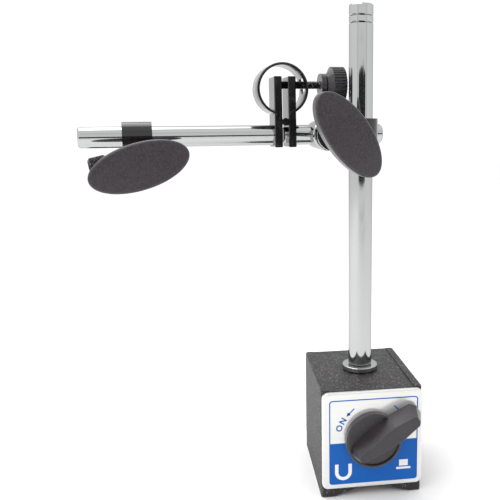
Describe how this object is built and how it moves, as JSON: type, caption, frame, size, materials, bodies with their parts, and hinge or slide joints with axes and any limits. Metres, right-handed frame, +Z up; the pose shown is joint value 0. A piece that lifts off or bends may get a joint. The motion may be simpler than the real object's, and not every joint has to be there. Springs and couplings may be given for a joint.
{
  "type": "magnetic base stand",
  "caption": "Switchable magnetic base with a chrome post, a swivelling arm rod with a fine adjuster, and a clamp with a stem bore for a dial gauge.",
  "frame": {"origin": "on the resting plane under the post's axis, at the middle of the base", "axes": "+X right along the base's width, +Y to the back away from the switch knob, +Z up along the post"},
  "size_m": [0.1608, 0.0759, 0.2384],
  "materials": {
    "black_paint": "black wrinkle paint with fine light specks",
    "label_plate": "brushed silver plate with a printed blue field and outline",
    "chrome": "polished chrome plate",
    "zinc_steel": "bright zinc plate",
    "black_oxide": "semi-gloss black oxide",
    "spring_steel": "blackened spring steel",
    "knob_plastic": "black moulded plastic with a fine satin grain",
    "fine_knob_plastic": "black moulded plastic",
    "switch_plastic": "black moulded plastic, satin",
    "brass": "turned brass",
    "magnet": "sintered magnet",
    "soft_iron": "turned soft iron",
    "aluminium": "die-cast"
  },
  "bodies": {
    "base": {"left_pole": "black_paint", "right_pole": "black_paint", "top_spacer": "black_paint", "bottom_spacer": "brass", "stop_pin": "zinc_steel", "label_plate": "label_plate", "rear_cover": "black_paint", "rear_cover_screws": "zinc_steel", "post_nut": "chrome"},
    "switch": {"rotor_magnet": "magnet", "rotor_shoes": "soft_iron", "rotor_front_cap": "aluminium", "rotor_rear_cap": "aluminium", "switch_knob": "switch_plastic", "switch_screw": "zinc_steel"},
    "post_body": {"post": "chrome"},
    "post_clamp": {"post_strap": "black_oxide", "post_washer": "zinc_steel"},
    "post_handle": {"post_knob": "knob_plastic", "post_knob_insert": "brass"},
    "swivel": {"eye_bolt": "chrome", "saddle_collar": "chrome"},
    "arm_slide": {"short_rod": "chrome"},
    "adjuster": {"fixed_jaw": "black_oxide", "pivot_pin": "black_oxide", "spring_band": "spring_steel"},
    "fine_arm": {"fine_jaw": "black_oxide"},
    "arm": {"long_rod": "chrome"},
    "fine_drive": {"fine_screw": "black_oxide"},
    "fine_grip": {"fine_knob": "fine_knob_plastic"},
    "rod_clamp": {"rod_strap": "black_oxide", "rod_washer": "zinc_steel", "rod_bolt": "black_oxide", "holder_collar": "black_oxide"},
    "rod_handle": {"rod_knob": "knob_plastic", "rod_knob_insert": "brass"},
    "holder": {"stem_holder": "black_oxide"},
    "stem_lock": {"stem_screw": "black_oxide"}
  },
  "joints": [
    {"name": "switch_turn", "type": "hinge", "parent": "base", "child": "switch", "pos_m": [0, -0.035, 0.0305], "axis": [0, -1, 0], "range_deg": [0, 110]},
    {"name": "post_turn", "type": "hinge", "parent": "base", "child": "post_body", "pos_m": [0, 0, 0.1], "axis": [0, 0, 1], "continuous": true},
    {"name": "clamp_height", "type": "slide", "parent": "post_body", "child": "post_clamp", "axis": [0, 0, 1], "range_m": [-0.095, 0.05]},
    {"name": "post_knob_turn", "type": "hinge", "parent": "post_clamp", "child": "post_handle", "pos_m": [-0.01509, -0.00185, 0.1761], "axis": [0.1219, -0.9925, 0], "range_deg": [0, 180]},
    {"name": "arm_swivel", "type": "hinge", "parent": "post_clamp", "child": "swivel", "pos_m": [-0.01509, -0.00185, 0.1761], "axis": [0.1219, -0.9925, 0], "range_deg": [-40, 75]},
    {"name": "arm_reach", "type": "slide", "parent": "swivel", "child": "arm_slide", "axis": [-0.9925, -0.1219, -0.0061], "range_m": [0, 0.02]},
    {"name": "arm_roll", "type": "hinge", "parent": "arm_slide", "child": "adjuster", "pos_m": [-0.02176, 0.01315, 0.17607], "axis": [-0.9925, -0.1219, -0.0061], "range_deg": [0, 180]},
    {"name": "fine_tilt", "type": "hinge", "parent": "adjuster", "child": "fine_arm", "pos_m": [-0.03778, 0.01118, 0.18247], "axis": [0.1219, -0.9925, 0], "range_deg": [0, 3], "deforming": ["spring_band"]},
    {"name": "fine_screw_travel", "type": "slide", "parent": "adjuster", "child": "fine_drive", "axis": [-0.9925, -0.1219, -0.0061], "range_m": [0, 0.0009549]},
    {"name": "fine_knob_turn", "type": "hinge", "parent": "fine_drive", "child": "fine_grip", "pos_m": [-0.01199, 0.01435, 0.20083], "axis": [-0.9925, -0.1219, -0.0061], "range_deg": [0, 491.07]},
    {"name": "rod_turn", "type": "hinge", "parent": "fine_arm", "child": "arm", "pos_m": [-0.08132, 0.00583, 0.1757], "axis": [0.9925, 0.1219, 0.0061], "continuous": true},
    {"name": "clamp_place", "type": "slide", "parent": "arm", "child": "rod_clamp", "axis": [0.9925, 0.1219, 0.0061], "range_m": [-0.019, 0.036]},
    {"name": "rod_knob_turn", "type": "hinge", "parent": "rod_clamp", "child": "rod_handle", "pos_m": [-0.10853, 0.00249, 0.16284], "axis": [0.1219, -0.9925, 0], "range_deg": [0, 180]},
    {"name": "holder_swivel", "type": "hinge", "parent": "rod_clamp", "child": "holder", "pos_m": [-0.10853, 0.00249, 0.16284], "axis": [0.1219, -0.9925, 0], "continuous": true},
    {"name": "stem_screw_turn", "type": "hinge", "parent": "holder", "child": "stem_lock", "pos_m": [-0.11041, 0.01778, 0.16284], "axis": [0.9657, 0.1186, 0.2309], "range_deg": [0, 360]}
  ],
  "couplings": [
    {"joint": "fine_screw_travel", "follows": "fine_tilt", "m_per_rad": 0.0182},
    {"joint": "fine_knob_turn", "follows": "fine_tilt", "ratio": 163.36}
  ]
}
